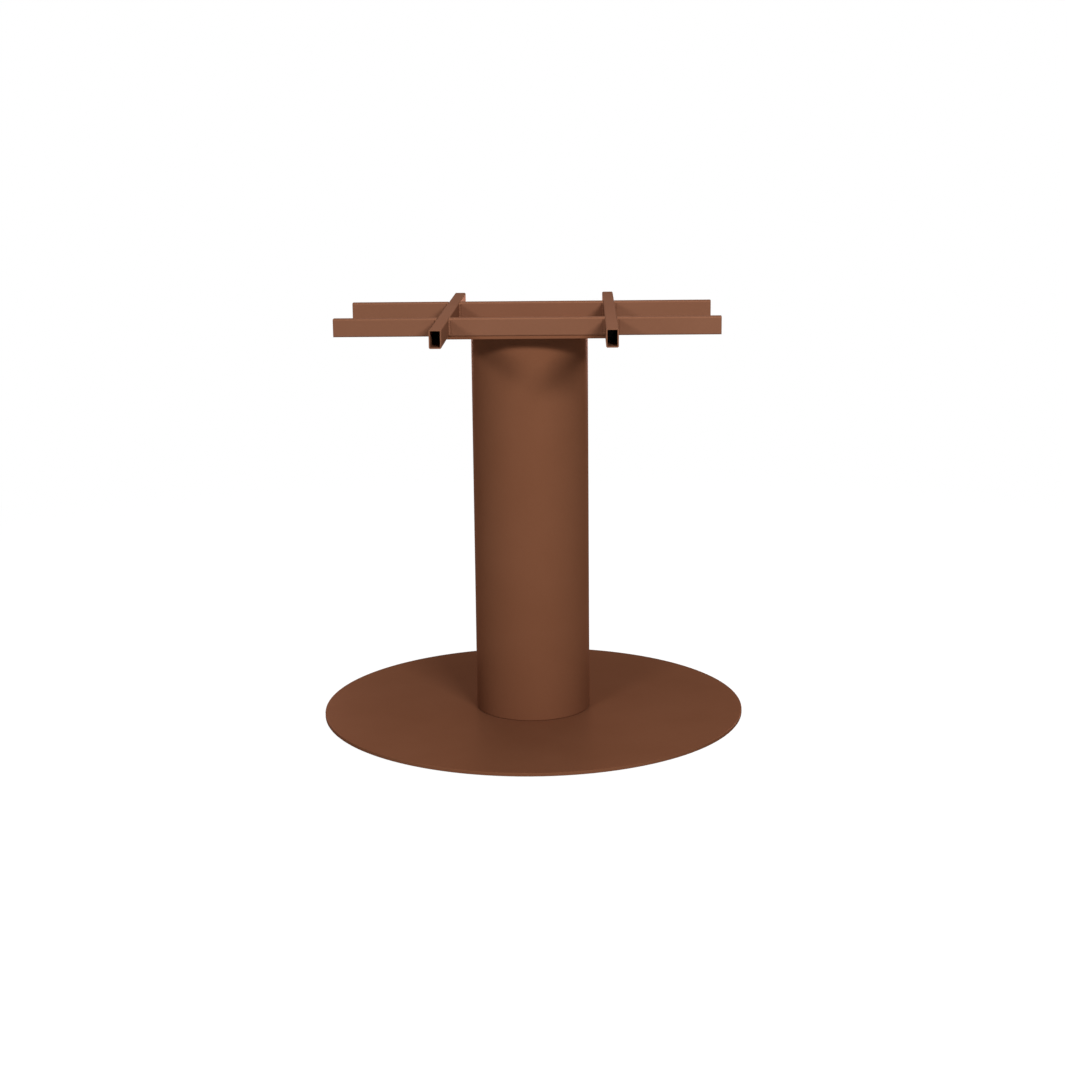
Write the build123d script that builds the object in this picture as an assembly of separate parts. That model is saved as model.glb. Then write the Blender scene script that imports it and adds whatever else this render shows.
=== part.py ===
from build123d import *

import math
import os

# Pedestal table base: a round floor plate, a wide tube column and a flat cross frame of
# rectangular tubes that carries a table top.
# Millimetres. The origin is on the floor, on the column's axis. X runs to the right along the
# bars, Y runs to the back along the cross tubes, and Z runs up.

# Floor plate: a steel disc on thin round plastic glides
base_diameter = 750.0
base_thickness = 6.0
base_edge_radius = 0.8
glide_count = 6
glide_diameter = 30.0
glide_thickness = 3.0
glide_chamfer = 0.6
glide_rim_margin = 20.0

# Column: a round tube with a ring flange welded inside each end
column_diameter = 203.0
column_wall = 3.0
column_length = 679.0
column_end_chamfer = 1.4
flange_thickness = 10.0
flange_bore = 60.0
flange_clearance = 0.3
flange_weld_leg = 4.0

# Top plate between the column and the cross frame
plate_thickness = 5.0
plate_corner_radius = 3.0
plate_edge_chamfer = 0.4

# Cross frame: rectangular tubes, all at one level
tube_width = 20.0
tube_height = 30.0
tube_wall = 2.0
tube_corner_radius = 2.5
tube_length = 645.0
tube_spacing = 279.0

# Weld beads
corner_weld_leg = 4.0
weld_ripple_pitch = 3.0
weld_ripple_depth = 0.35
stitch_weld_leg = 4.0
stitch_weld_length = 36.0
stitch_weld_spacing = 150.0

# Screws that hold the column: their circle, and the fits of their holes
bolt_count = 4
bolt_rim_margin = 23.0
bolt_first_angle = 45.0
thread_diameter = 8.0
thread_clearance = 0.1
through_clearance = 0.5

# Countersunk socket screws under the floor plate
countersunk_head_diameter = 16.0
countersunk_head_rim = 0.5
countersunk_screw_length = 16.0
socket_across_flats = 5.0
socket_depth = 2.6

# Hexagon bolts and washers on the top plate
hexagon_across_flats = 13.0
hexagon_head_height = 5.3
hexagon_bolt_length = 16.0
washer_diameter = 16.0
washer_thickness = 1.6
screw_tip_chamfer = 0.8

# Levels and radii that follow from the sizes above
base_underside = glide_thickness
base_top = base_underside + base_thickness
column_top = base_top + column_length
frame_bottom = column_top + plate_thickness
frame_top = frame_bottom + tube_height
base_radius = base_diameter / 2
column_radius = column_diameter / 2
column_bore_radius = column_radius - column_wall
flange_radius = column_bore_radius - flange_clearance
bolt_circle_radius = flange_radius - bolt_rim_margin
glide_circle_radius = base_radius - glide_rim_margin - glide_diameter / 2
thread_radius = thread_diameter / 2
plate_size = tube_spacing + tube_width
well_half = (tube_spacing - tube_width) / 2
tiny = 0.01


def ring_of_places(count, radius, first_angle):
    """Points evenly spaced on a circle about the column's axis."""
    places = []
    for index in range(count):
        angle = math.radians(first_angle + index * 360.0 / count)
        places.append((radius * math.cos(angle), radius * math.sin(angle)))
    return places


def turned(points):
    """A solid of revolution about Z, from its half outline as (radius, height) points."""
    outline = Polyline(*[(radius, 0, height) for radius, height in points], close=True)
    return revolve(make_face(outline), Axis.Z)


def upright_hole(x, y, radius, bottom, top):
    """The solid that is cut away for a plain upright hole."""
    return Pos(x, y, bottom) * extrude(Circle(radius), top - bottom)


bolt_places = ring_of_places(bolt_count, bolt_circle_radius, bolt_first_angle)
glide_places = ring_of_places(glide_count, glide_circle_radius, 360.0 / glide_count / 2)


# Countersunk screws: the head's cone slopes at 45 degrees
head_radius = countersunk_head_diameter / 2
head_cone_height = head_radius - thread_radius
head_height = countersunk_head_rim + head_cone_height


def make_countersunk_screw():
    """A countersunk screw with its head's flat face at the origin and its tip up."""
    screw = turned([
        (0, 0),
        (head_radius, 0),
        (head_radius, countersunk_head_rim),
        (thread_radius, head_height),
        (thread_radius, countersunk_screw_length - screw_tip_chamfer),
        (thread_radius - screw_tip_chamfer, countersunk_screw_length),
        (0, countersunk_screw_length),
    ])
    socket = extrude(RegularPolygon(socket_across_flats / 2, 6, major_radius=False), socket_depth)
    return screw - socket


def countersunk_hole(x, y):
    """The hole for one countersunk screw, from the floor plate's underside to its top."""
    seat_radius = head_radius + thread_clearance
    hole_radius = thread_radius + through_clearance
    cone_end = countersunk_head_rim + seat_radius - hole_radius
    return Pos(x, y, base_underside) * turned([
        (0, -tiny),
        (seat_radius, -tiny),
        (seat_radius, countersunk_head_rim),
        (hole_radius, cone_end),
        (hole_radius, max(base_thickness, cone_end) + tiny),
        (0, max(base_thickness, cone_end) + tiny),
    ])


def make_base_plate():
    """The floor disc, with its rim rounded and a countersunk hole for each column screw."""
    plate = Pos(0, 0, base_underside) * extrude(Circle(base_radius), base_thickness)
    rims = plate.edges().filter_by(GeomType.CIRCLE)
    plate = fillet(rims, min(base_edge_radius, 0.45 * base_thickness))
    for x, y in bolt_places:
        plate -= countersunk_hole(x, y)
    return plate


def make_floor_glide(x, y):
    """A thin round glide, its lower rim softened."""
    glide = extrude(Circle(glide_diameter / 2), glide_thickness)
    lower_rim = glide.edges().sort_by(Axis.Z)[0]
    return Pos(x, y, 0) * chamfer(lower_rim, min(glide_chamfer, 0.4 * glide_thickness))


def make_column_tube():
    """The round tube, with the outer edge of both its ends broken."""
    broken = min(column_end_chamfer, 0.5 * column_wall)
    return turned([
        (column_bore_radius, base_top),
        (column_radius - broken, base_top),
        (column_radius, base_top + broken),
        (column_radius, column_top - broken),
        (column_radius - broken, column_top),
        (column_bore_radius, column_top),
    ])


def make_flange(bottom):
    """A ring flange that fits the column's bore, with threaded holes for the screws."""
    flange = Pos(0, 0, bottom) * extrude(Circle(flange_radius) - Circle(flange_bore / 2), flange_thickness)
    for x, y in bolt_places:
        flange -= upright_hole(
            x, y, thread_radius + thread_clearance, bottom - 1, bottom + flange_thickness + 1
        )
    return flange


def make_flange_weld(level, direction):
    """The bead round the column's bore, on the inner face of a flange at the given level."""
    bead = [(column_bore_radius, level), (column_bore_radius, level + direction * flange_weld_leg)]
    steps = 3
    for step in range(1, steps + 1):
        angle = math.radians(90.0 * step / steps)
        bead.append((
            column_bore_radius - flange_weld_leg * math.sin(angle),
            level + direction * flange_weld_leg * math.cos(angle),
        ))
    return turned(bead)


def make_top_plate():
    """The square plate on the column, flush with the outer sides of the four tube lines."""
    outline = RectangleRounded(plate_size, plate_size, plate_corner_radius)
    plate = Pos(0, 0, column_top) * extrude(outline, plate_thickness)
    rims = plate.faces().sort_by(Axis.Z)[-1].edges() + plate.faces().sort_by(Axis.Z)[0].edges()
    plate = chamfer(rims, min(plate_edge_chamfer, 0.3 * plate_thickness))
    for x, y in bolt_places:
        hole_radius = thread_radius + through_clearance
        plate -= upright_hole(x, y, hole_radius, column_top - 1, frame_bottom + 1)
    return plate


def tube_section():
    """The rectangular tube's section, about its own centre."""
    inner_radius = max(tube_corner_radius - tube_wall, 0.3)
    outer = RectangleRounded(tube_width, tube_height, tube_corner_radius)
    inner = RectangleRounded(tube_width - 2 * tube_wall, tube_height - 2 * tube_wall, inner_radius)
    return outer - inner


def make_cross_tube(x):
    """A tube that runs front to back in one length."""
    tube = Rot(90, 0, 0) * extrude(tube_section(), tube_length / 2, both=True)
    return Pos(x, 0, frame_bottom + tube_height / 2) * tube


def make_bar(left, right, y):
    """A tube that runs left to right, from one x to the other."""
    length = right - left
    bar = Rot(0, 0, 90) * Rot(90, 0, 0) * extrude(tube_section(), length / 2, both=True)
    return Pos((left + right) / 2, y, frame_bottom + tube_height / 2) * bar


def make_corner_bead():
    """An upright weld bead that fills the corner between two tube sides, with its ripples.

    Its corner is the Z axis, and it lies between the +X and +Y directions.
    """
    height = tube_height - 2 * tube_corner_radius
    ripples = max(int(round(height / weld_ripple_pitch)), 1)
    pitch = height / ripples
    valley = corner_weld_leg - weld_ripple_depth
    outline = [(0, 0), (valley, 0)]
    for ripple in range(ripples):
        outline.append((corner_weld_leg, (ripple + 0.65) * pitch))
        outline.append((valley, (ripple + 1) * pitch))
    outline.append((0, height))
    profile = make_face(Polyline(*[(radius, 0, level) for radius, level in outline], close=True))
    bead = revolve(profile, Axis.Z, revolution_arc=90)
    return Pos(0, 0, frame_bottom + tube_corner_radius) * bead


def make_crossing_weld(x, y):
    """The four upright beads round one crossing of the frame."""
    half = tube_width / 2
    bead = make_corner_bead()
    beads = []
    for quarter, (side_x, side_y) in enumerate([(1, 1), (-1, 1), (-1, -1), (1, -1)]):
        beads.append(Pos(x + side_x * half, y + side_y * half, 0) * Rot(0, 0, 90 * quarter) * bead)
    return Compound(children=beads)


def make_stitch_weld(angle):
    """Two short beads in the well, between the top plate and the tube on one side of it."""
    section = make_face(
        Polyline((0, stitch_weld_leg), (0, 0), (-stitch_weld_leg, 0))
        + RadiusArc((-stitch_weld_leg, 0), (0, stitch_weld_leg), stitch_weld_leg * 1.1)
    )
    bead = Rot(90, 0, 0) * extrude(section, stitch_weld_length / 2, both=True)
    beads = []
    for side in (-1, 1):
        place = Pos(well_half, side * stitch_weld_spacing / 2, frame_bottom)
        beads.append(Rot(0, 0, angle) * place * bead)
    return Compound(children=beads)


def make_hexagon_bolt():
    """A hexagon bolt with the underside of its head at the origin and its tip down."""
    head = extrude(RegularPolygon(hexagon_across_flats / 2, 6, major_radius=False), hexagon_head_height)
    corner_radius = hexagon_across_flats / math.sqrt(3)
    crown = corner_radius - hexagon_across_flats / 2
    head &= turned([
        (0, 0),
        (corner_radius + tiny, 0),
        (corner_radius + tiny, hexagon_head_height - 0.5 * crown),
        (hexagon_across_flats / 2 - 0.5 * crown, hexagon_head_height),
        (0, hexagon_head_height),
    ])
    shank = turned([
        (0, tiny),
        (0, -hexagon_bolt_length),
        (thread_radius - screw_tip_chamfer, -hexagon_bolt_length),
        (thread_radius, screw_tip_chamfer - hexagon_bolt_length),
        (thread_radius, tiny),
    ])
    return head + shank


def make_washer(x, y):
    """A plain washer on the top plate."""
    ring = Circle(washer_diameter / 2) - Circle(thread_radius + 2 * thread_clearance)
    return Pos(x, y, frame_bottom) * extrude(ring, washer_thickness)


# Every piece under its own name
pieces = {
    "base_plate": make_base_plate(),
    "column_tube": make_column_tube(),
    "column_foot_flange": make_flange(base_top),
    "column_head_flange": make_flange(column_top - flange_thickness),
    "foot_flange_weld": make_flange_weld(base_top + flange_thickness, 1),
    "head_flange_weld": make_flange_weld(column_top - flange_thickness, -1),
    "top_plate": make_top_plate(),
}

for index, (x, y) in enumerate(glide_places, start=1):
    pieces[f"floor_glide_{index}"] = make_floor_glide(x, y)

countersunk_screw = make_countersunk_screw()
hexagon_bolt = make_hexagon_bolt()
for index, (x, y) in enumerate(bolt_places, start=1):
    pieces[f"base_screw_{index}"] = Pos(x, y, base_underside) * countersunk_screw
    pieces[f"plate_washer_{index}"] = make_washer(x, y)
    pieces[f"plate_bolt_{index}"] = Pos(x, y, frame_bottom + washer_thickness) * hexagon_bolt

sides = {"left": -1, "right": 1}
rows = {"front": -1, "back": 1}
for side, sign in sides.items():
    pieces[f"cross_tube_{side}"] = make_cross_tube(sign * tube_spacing / 2)

tube_outer_side = (tube_spacing + tube_width) / 2
for row, row_sign in rows.items():
    row_y = row_sign * tube_spacing / 2
    pieces[f"bar_{row}_left"] = make_bar(-tube_length / 2, -tube_outer_side, row_y)
    pieces[f"bar_{row}_middle"] = make_bar(-well_half, well_half, row_y)
    pieces[f"bar_{row}_right"] = make_bar(tube_outer_side, tube_length / 2, row_y)
    for side, sign in sides.items():
        pieces[f"weld_{row}_{side}"] = make_crossing_weld(sign * tube_spacing / 2, row_y)

well_sides = {"right": 0, "back": 90, "left": 180, "front": 270}
for side, angle in well_sides.items():
    pieces[f"plate_weld_{side}"] = make_stitch_weld(angle)

os.makedirs("parts", exist_ok=True)
for name, solid in pieces.items():
    export_step(solid, f"parts/{name}.step")
print(f"{len(pieces)} pieces, {frame_top:.1f} mm high")
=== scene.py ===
import math

import bpy
from mathutils import Matrix, Vector


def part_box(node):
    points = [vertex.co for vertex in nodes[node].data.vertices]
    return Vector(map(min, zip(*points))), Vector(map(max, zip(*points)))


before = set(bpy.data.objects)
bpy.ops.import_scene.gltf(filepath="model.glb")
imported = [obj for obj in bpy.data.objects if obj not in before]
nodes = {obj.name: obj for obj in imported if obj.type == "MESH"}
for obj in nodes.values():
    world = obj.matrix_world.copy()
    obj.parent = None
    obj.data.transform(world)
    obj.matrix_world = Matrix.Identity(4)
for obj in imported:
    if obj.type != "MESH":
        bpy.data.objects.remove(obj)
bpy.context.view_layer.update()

# Looks of a pedestal table base: brown powder coat, dark bare steel in the bores of the open
# tubes, zinc-plated screws and black plastic glides.
# Metres, in the frame of the solids: the origin is on the floor, X to the right, Y to the back.

# Where the open tubes lie, from the solids
tube_low, tube_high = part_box("cross_tube_right")
tube_level = (tube_low.z + tube_high.z) / 2
tube_offset = (tube_low.x + tube_high.x) / 2
tube_half_width = (tube_high.x - tube_low.x) / 2
tube_half_height = (tube_high.z - tube_low.z) / 2
tube_half_length = tube_high.y

# The bore's surface is a wall's thickness under the tube's outside. The finish changes a little
# past the middle of the wall, so the rim at the tube's end keeps its powder.
tube_wall = 0.002
inside_margin = 0.6 * tube_wall

# How far the powder reaches into an open tube, over what length it thins out to bare steel, and
# how ragged that edge is
coat_reach = 0.030
coat_fade = 0.045
coat_raggedness = 0.012

# Finishes, as linear colours
coat_colour = (0.194, 0.0755, 0.0380)
coat_light_colour = (0.210, 0.084, 0.0435)
# The frame's coat is a lighter, less saturated copy of the same brown: painted light, standing in for the
# brighter light that falls on the frame's tubes and bars
frame_coat_painted_lit_colour = (0.214, 0.092, 0.052)
frame_coat_painted_lit_light_colour = (0.231, 0.102, 0.059)
coat_sheen_tint = (1.0, 0.62, 0.52)
bare_steel_colour = (0.030, 0.027, 0.025)
mill_scale_colour = (0.050, 0.030, 0.020)
zinc_colour = (0.62, 0.63, 0.62)
zinc_dull_colour = (0.46, 0.47, 0.47)
plastic_colour = (0.030, 0.030, 0.031)
plastic_scuff_colour = (0.060, 0.058, 0.055)

# Gloss: how rough each finish is, and the share of the powder coat that shines like metal
coat_roughness = 0.42
coat_sparkle = 0.14
bare_steel_polish = 0.10
zinc_roughness = 0.28
plastic_roughness = 0.50

# The powder coat's soft clouds outweigh its fine grain in the shade of brown
cloud_share = 0.7
grain_share = 0.3


class Field:
    """A number that changes over a surface. Sums written with it add Math nodes."""

    def __init__(self, finish, socket):
        self.finish = finish
        self.socket = socket

    def __add__(self, other):
        return self.finish.maths("ADD", self, other)

    def __sub__(self, other):
        return self.finish.maths("SUBTRACT", self, other)

    def __rsub__(self, other):
        return self.finish.maths("SUBTRACT", other, self)

    def __mul__(self, other):
        return self.finish.maths("MULTIPLY", self, other)

    def __abs__(self):
        return self.finish.maths("ABSOLUTE", self, 0.0)

    __radd__ = __add__
    __rmul__ = __mul__


def as_colour(colour):
    """A colour for a socket: a field is linked as it is, and three numbers get full opacity."""
    return colour if isinstance(colour, Field) else (*colour, 1.0)


class Finish:
    """A material in the making. All its nodes come from node()."""

    def __init__(self, tree):
        self.tree = tree
        tree.nodes.clear()

    def node(self, kind, settings, sockets, output=0):
        """Adds a node: its settings first, then a value or a link for each socket. Returns an output."""
        made = self.tree.nodes.new(kind)
        for name, value in settings.items():
            setattr(made, name, value)
        for name, value in sockets.items():
            if isinstance(value, Field):
                self.tree.links.new(value.socket, made.inputs[name])
            else:
                made.inputs[name].default_value = value
        return Field(self, made.outputs[output]) if made.outputs else None

    def maths(self, operation, first, second):
        """One step of arithmetic, or 1 or 0 for a comparison."""
        return self.node("ShaderNodeMath", {"operation": operation}, {0: first, 1: second})

    def place(self):
        """Where a point of the surface is, in metres."""
        return self.node("ShaderNodeTexCoord", {}, {}, "Object")

    def along(self, axis):
        """One coordinate of that place."""
        return self.node("ShaderNodeSeparateXYZ", {}, {"Vector": self.place()}, axis)

    def noise(self, size, detail=2.0):
        """Cloudy variation from 0 to 1, with spots about as large as size."""
        return self.node(
            "ShaderNodeTexNoise", {}, {"Vector": self.place(), "Scale": 1.0 / size, "Detail": detail}
        )

    def step(self, value, low, high):
        """0 where the value is under low, 1 where it is over high, and smooth between them."""
        return self.node(
            "ShaderNodeMapRange",
            {"interpolation_type": "SMOOTHSTEP"},
            {"Value": value, "From Min": low, "From Max": high},
        )

    def blend(self, share, under, over):
        """The colour under, with that share of the colour over."""
        return self.node(
            "ShaderNodeMix", {"data_type": "RGBA"}, {0: share, 6: as_colour(under), 7: as_colour(over)}, 2
        )

    def bump(self, height, strength, depth):
        """Fine relief on the surface, as deep as depth."""
        return self.node("ShaderNodeBump", {}, {"Height": height, "Strength": strength, "Distance": depth})


def new_material(name):
    """An empty material, and the finish that fills it."""
    material = bpy.data.materials.new(name)
    material.use_nodes = True
    return material, Finish(material.node_tree)


def end_material(finish, shader):
    """Shows the shader on the surface."""
    finish.node("ShaderNodeOutputMaterial", {}, {"Surface": shader})


def bare_in_bore(finish, across, along_tube):
    """1 where the steel of an open tube's bore has no powder on it, deep inside."""
    beside = abs(abs(finish.along(across)) - tube_offset)
    above = abs(finish.along("Z") - tube_level)
    in_width = finish.maths("LESS_THAN", beside, tube_half_width - inside_margin)
    in_height = finish.maths("LESS_THAN", above, tube_half_height - inside_margin)
    depth = tube_half_length - abs(finish.along(along_tube))
    ragged = depth + coat_raggedness * (finish.noise(size=0.006) - 0.5)
    return in_width * in_height * finish.step(ragged, coat_reach, coat_reach + coat_fade)


def powder_coat(name, dark, light, across=None, along_tube=None):
    """Brown satin powder coat. For an open tube, the bare bore is added."""
    material, finish = new_material(name)
    cloud = finish.noise(size=0.16, detail=3.0)
    grain = finish.noise(size=0.0016)
    shade = cloud_share * cloud + grain_share * grain
    colour = finish.blend(finish.step(shade, low=0.3, high=0.7), dark, light)
    roughness = coat_roughness + 0.12 * (grain - 0.5)
    if across:
        bare = bare_in_bore(finish, across, along_tube)
        steel = finish.blend(finish.noise(size=0.02), bare_steel_colour, mill_scale_colour)
        colour = finish.blend(bare, colour, steel)
        roughness = roughness - bare_steel_polish * bare
    orange_peel = finish.bump(finish.noise(size=0.0013, detail=1.0), strength=0.25, depth=0.0001)
    shader = finish.node("ShaderNodeBsdfPrincipled", {}, {
        "Base Color": colour,
        "Roughness": roughness,
        "Metallic": coat_sparkle,
        "Specular IOR Level": 0.0,
        "Specular Tint": as_colour(coat_sheen_tint),
        "Normal": orange_peel,
    })
    end_material(finish, shader)
    return material


def zinc_plate(name):
    """Bright zinc plating, clouded and a little dull in spots."""
    material, finish = new_material(name)
    cloud = finish.step(finish.noise(size=0.004, detail=3.0), low=0.35, high=0.70)
    fine = finish.noise(size=0.0006)
    shader = finish.node("ShaderNodeBsdfPrincipled", {}, {
        "Base Color": finish.blend(cloud, zinc_colour, zinc_dull_colour),
        "Metallic": 1.0,
        "Roughness": zinc_roughness + 0.14 * cloud + 0.06 * fine,
        "Normal": finish.bump(fine, strength=0.15, depth=0.00005),
    })
    end_material(finish, shader)
    return material


def glide_plastic(name):
    """Black moulded plastic with a fine grain, scuffed in spots."""
    material, finish = new_material(name)
    grain = finish.noise(size=0.0008)
    scuffs = finish.step(finish.noise(size=0.003, detail=4.0), low=0.55, high=0.75)
    shader = finish.node("ShaderNodeBsdfPrincipled", {}, {
        "Base Color": finish.blend(scuffs, plastic_colour, plastic_scuff_colour),
        "Roughness": plastic_roughness + 0.12 * scuffs,
        "Normal": finish.bump(grain, strength=0.3, depth=0.0001),
    })
    end_material(finish, shader)
    return material


# The frame, its welds and its open tubes get that lighter copy of the coat: painted light, since the one
# coat is the same brown on the whole base
frame_painted_lit_shades = (frame_coat_painted_lit_colour, frame_coat_painted_lit_light_colour)
coat = powder_coat("brown_powder_coat", coat_colour, coat_light_colour)
coat_frame = powder_coat("powder_coat_frame_painted_lit", *frame_painted_lit_shades)
coat_cross = powder_coat("powder_coat_open_cross_tube_painted_lit", *frame_painted_lit_shades, across="X", along_tube="Y")
coat_bar = powder_coat("powder_coat_open_bar_painted_lit", *frame_painted_lit_shades, across="Y", along_tube="X")
zinc = zinc_plate("zinc_plate")
plastic = glide_plastic("black_glide_plastic")


def finish_of(name):
    """The material of one node of the frame."""
    if "screw" in name or "bolt" in name or "washer" in name:
        return zinc
    if "glide" in name:
        return plastic
    if name.startswith("cross_tube"):
        return coat_cross
    if name.startswith("bar") and not name.endswith("middle"):
        return coat_bar
    if name.startswith(("bar", "weld")):
        return coat_frame
    return coat


for name, node in nodes.items():
    node.data.materials.clear()
    node.data.materials.append(finish_of(name))


# Floor: it shows white, with the shadow kept near the base, and sends little light back up
floor_radius = 60.0
floor_sides = 96
floor_colour = (0.35, 0.35, 0.35)
shadow_reach = (1.0, 2.4)
shadow_glow_share = 0.40
shadow_glow = 2.40
white = (1.0, 1.0, 1.0)


def seen_straight(finish):
    """1 for the rays of the view, and for those that gloss or glass sends on."""
    share = finish.node("ShaderNodeLightPath", {}, {}, "Is Camera Ray")
    for kind in ("Is Glossy Ray", "Is Transmission Ray"):
        ray = finish.node("ShaderNodeLightPath", {}, {}, kind)
        share = finish.maths("MAXIMUM", share, ray)
    return share


def floor_finish(name):
    """Matt pale floor. To the view it glows: partly near the base, and as plain white further out."""
    material, finish = new_material(name)

    def glow(strength):
        return finish.node("ShaderNodeEmission", {}, {"Color": as_colour(white), "Strength": strength})

    def mix(share, under, over):
        return finish.node("ShaderNodeMixShader", {}, {0: share, 1: under, 2: over})

    distance = finish.node("ShaderNodeVectorMath", {"operation": "LENGTH"}, {0: finish.place()}, "Value")
    matt = finish.node("ShaderNodeBsdfDiffuse", {}, {"Color": as_colour(floor_colour)})
    shadowed = mix(shadow_glow_share, matt, glow(shadow_glow))
    shown = mix(finish.step(distance, *shadow_reach), shadowed, glow(1.0))
    end_material(finish, mix(seen_straight(finish), matt, shown))
    return material


def make_floor():
    """A wide flat disc at the level of the glides."""
    turns = [2 * math.pi * index / floor_sides for index in range(floor_sides)]
    rim = [(floor_radius * math.cos(turn), floor_radius * math.sin(turn), 0.0) for turn in turns]
    mesh = bpy.data.meshes.new("floor")
    mesh.from_pydata(rim, [], [list(range(floor_sides))])
    mesh.materials.append(floor_finish("floor_white"))
    floor = bpy.data.objects.new("floor", mesh)
    bpy.context.scene.collection.objects.link(floor)


make_floor()


# Light: two soft boxes well in front, a small one over the frame and two low ones behind
aim = (0.0, 0.0, 0.7)
lamp_distance = 4.5


def soft_box(name, place, width, height, power):
    """A rectangular lamp that faces the middle of the frame and isn't seen itself."""
    lamp = bpy.data.lights.new(name, "AREA")
    lamp.shape = "RECTANGLE"
    lamp.size = width
    lamp.size_y = height
    lamp.energy = power
    box = bpy.data.objects.new(name, lamp)
    box.location = place
    box.rotation_euler = (Vector(aim) - Vector(place)).to_track_quat("-Z", "Y").to_euler()
    box.visible_camera = False
    bpy.context.scene.collection.objects.link(box)


def round_the_base(azimuth, elevation):
    """A place seen from the middle of the frame: azimuth 0 is in front and 90 to the right."""
    turn, rise = math.radians(azimuth), math.radians(elevation)
    level = lamp_distance * math.cos(rise)
    return (level * math.sin(turn), -level * math.cos(turn), aim[2] + lamp_distance * math.sin(rise))


soft_box("key_right", round_the_base(azimuth=22.5, elevation=21.5), width=1.3, height=0.4, power=129.0)
soft_box("key_left", round_the_base(azimuth=-28.5, elevation=17.5), width=0.8, height=0.4, power=53.0)
soft_box("over_front", (0.0, -0.2, 1.75), width=0.7, height=0.7, power=5.8)
soft_box("behind_right", round_the_base(azimuth=161, elevation=-4), width=0.7, height=0.5, power=44.0)
soft_box("behind_left", round_the_base(azimuth=199, elevation=-4), width=0.7, height=0.5, power=44.0)

# Room: it shows white, and lights the base dimly from all round
room_light = 0.05


def make_room():
    """The world round the base."""
    world = bpy.data.worlds.new("room")
    world.use_nodes = True
    bpy.context.scene.world = world
    finish = Finish(world.node_tree)
    strength = room_light + (1.0 - room_light) * seen_straight(finish)
    room = finish.node("ShaderNodeBackground", {}, {"Color": as_colour(white), "Strength": strength})
    finish.node("ShaderNodeOutputWorld", {}, {"Surface": room})


make_room()

# Camera: where the photograph was taken from. Its angles are in radians, and its lens and
# sensor in millimetres.
camera_place = Vector((0.094657, -3.323812, 1.049700))
camera_yaw = -0.02746
camera_pitch = 0.21465
camera_roll = 0.01080
camera_lens = 64.62
camera_sensor = 36.0
view_depth = 200.0


def make_camera():
    """The camera, turned by its yaw, then tipped down by its pitch, then rolled."""
    forward = Vector((
        math.sin(camera_yaw) * math.cos(camera_pitch),
        math.cos(camera_yaw) * math.cos(camera_pitch),
        -math.sin(camera_pitch),
    ))
    level_right = Vector((math.cos(camera_yaw), -math.sin(camera_yaw), 0.0))
    level_down = forward.cross(level_right)
    right = math.cos(camera_roll) * level_right + math.sin(camera_roll) * level_down
    down = math.cos(camera_roll) * level_down - math.sin(camera_roll) * level_right
    lens = bpy.data.cameras.new("camera")
    lens.lens = camera_lens
    lens.sensor_width = camera_sensor
    lens.sensor_fit = "HORIZONTAL"
    lens.clip_end = view_depth
    camera = bpy.data.objects.new("camera", lens)
    axes = Matrix((right, -down, -forward)).transposed()
    camera.matrix_world = Matrix.Translation(camera_place) @ axes.to_4x4()
    bpy.context.scene.collection.objects.link(camera)
    bpy.context.scene.camera = camera


make_camera()
bpy.context.scene.view_settings.view_transform = "Standard"
